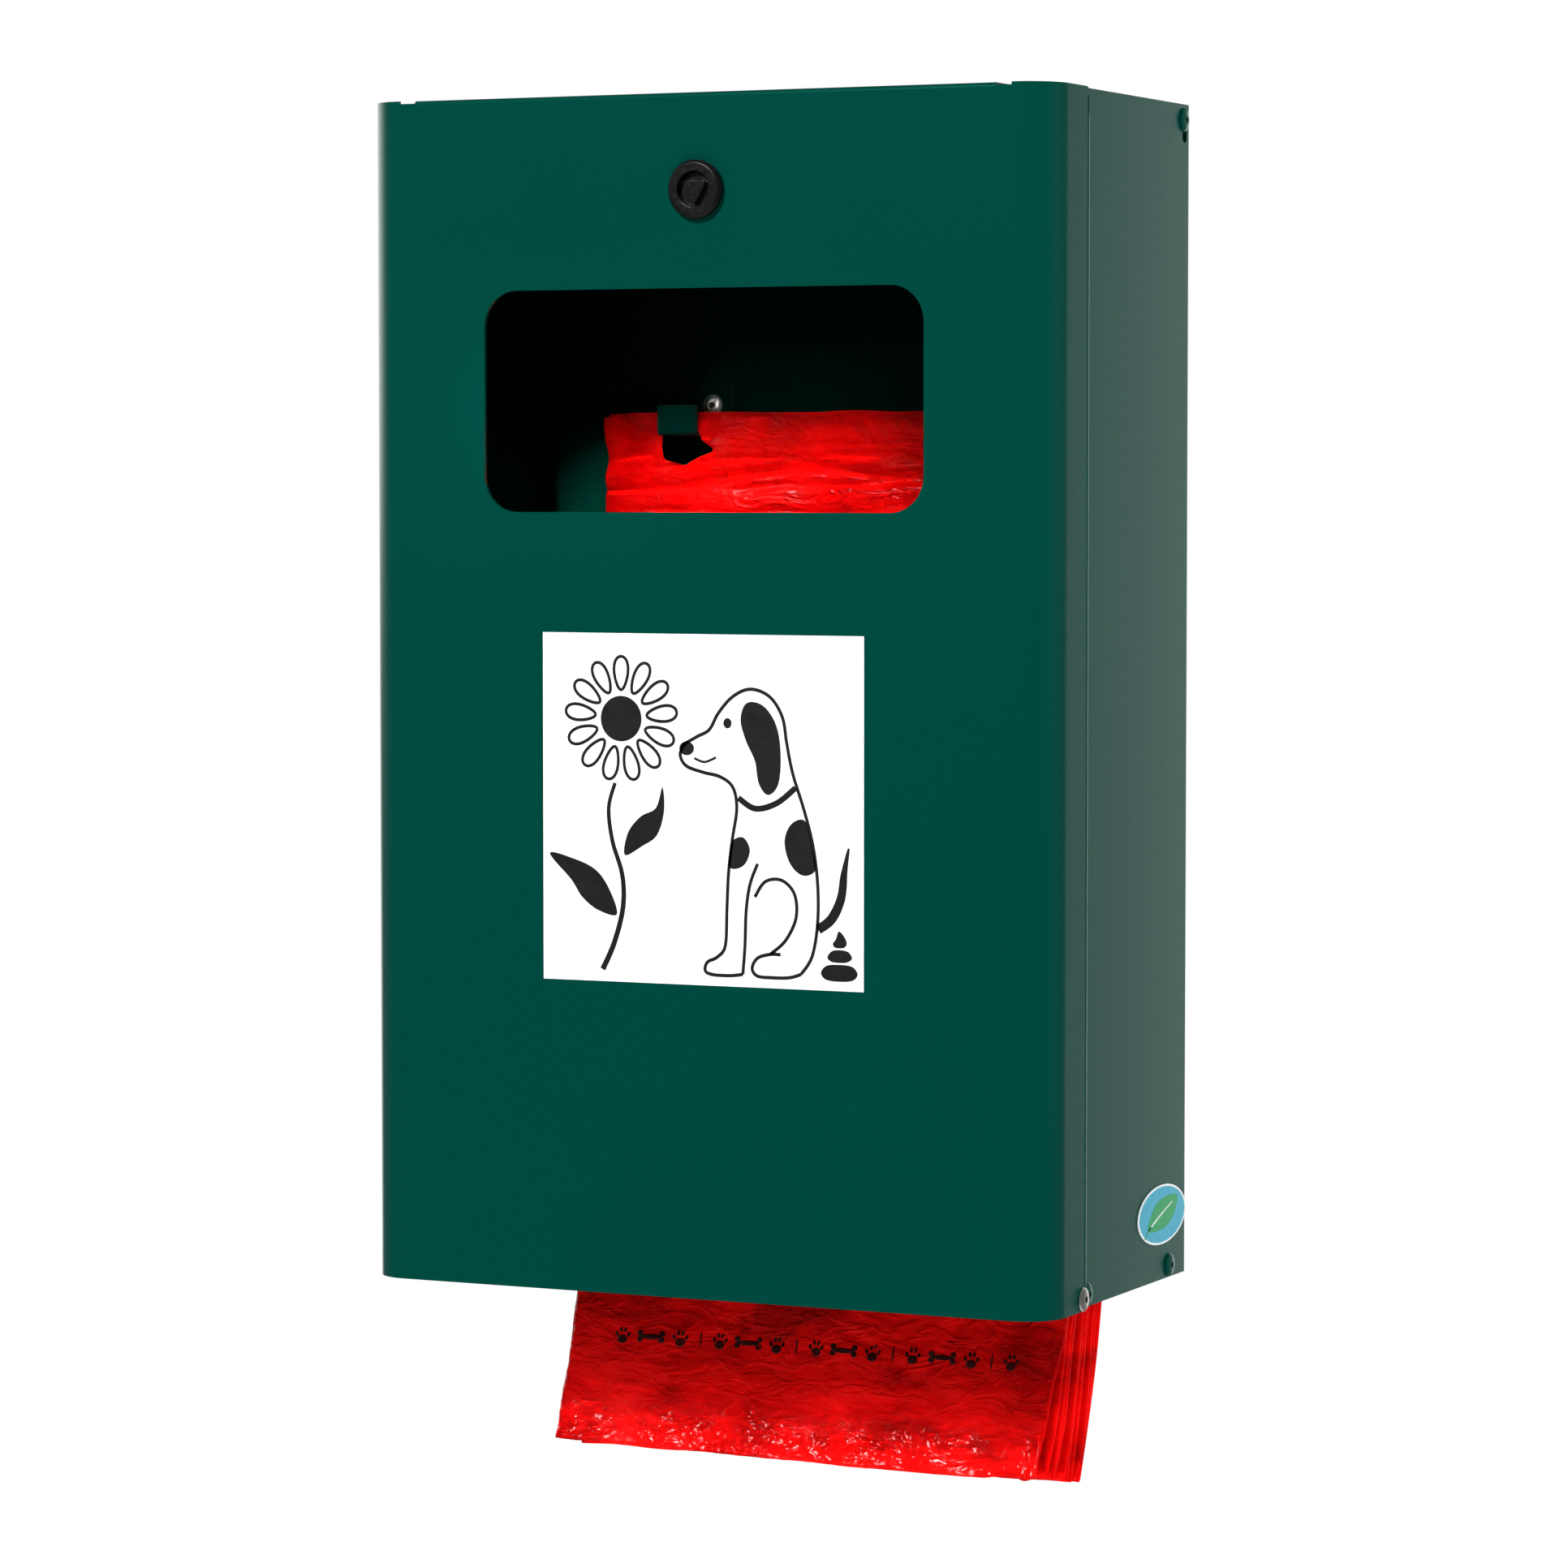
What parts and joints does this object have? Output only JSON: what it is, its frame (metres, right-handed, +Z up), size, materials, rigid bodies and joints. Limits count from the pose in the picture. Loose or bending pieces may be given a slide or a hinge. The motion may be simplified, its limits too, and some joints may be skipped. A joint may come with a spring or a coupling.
{
  "type": "dog waste bag dispenser",
  "caption": "Wall-mounted folded-steel dispenser for dog waste bags, with a hinged locking door, a window and a stack of bags hanging through a slot in the floor.",
  "frame": {"origin": "centre of the rectangle of four wall holes, on the back face of the case", "axes": "+Z up, -Y out of the door, +X to the right seen from the front, +Y into the wall"},
  "size_m": [0.2548, 0.1332, 0.4668],
  "materials": {
    "green_paint": "satin powder coat",
    "bare_rivet": "bright, slightly worn",
    "steel_pin": "dull, broken-off rivet pins",
    "zinc_steel": "zinc-plated",
    "lock_black": "fine-textured black",
    "gasket_rubber": "matt",
    "bag_film": "thin crinkled glossy film",
    "sticker_vinyl": "printed white vinyl",
    "badge_vinyl": "domed printed vinyl"
  },
  "bodies": {
    "case": {"back_shell": "green_paint", "roof_plate": "green_paint", "floor_plate": "green_paint", "case_rivets": "green_paint", "case_mandrels": "steel_pin", "hook_left": "green_paint", "hook_right": "green_paint", "hook_rivets": "bare_rivet", "hook_mandrels": "steel_pin", "hinge_rivets": "bare_rivet", "hinge_mandrels": "steel_pin", "side_badge": "badge_vinyl", "bag_front": "bag_film", "bag_bundle_1": "bag_film", "bag_bundle_2": "bag_film", "bag_bundle_3": "bag_film", "bag_bundle_4": "bag_film", "bag_bundle_5": "bag_film"},
    "door": {"door_panel": "green_paint", "door_sticker": "sticker_vinyl", "lock_gasket": "gasket_rubber", "lock_housing": "lock_black", "lock_washer": "zinc_steel", "lock_nut": "zinc_steel"},
    "lock": {"lock_plug": "lock_black", "lock_cam": "zinc_steel", "cam_washer": "zinc_steel", "cam_screw": "zinc_steel"}
  },
  "joints": [
    {"name": "door_hinge", "type": "hinge", "parent": "case", "child": "door", "pos_m": [0, -0.1008, -0.196], "axis": [1, 0, 0], "range_deg": [0, 108]},
    {"name": "lock_turn", "type": "hinge", "parent": "door", "child": "lock", "pos_m": [0, -0.1305, 0.168], "axis": [0, -1, 0], "range_deg": [0, 90]}
  ]
}
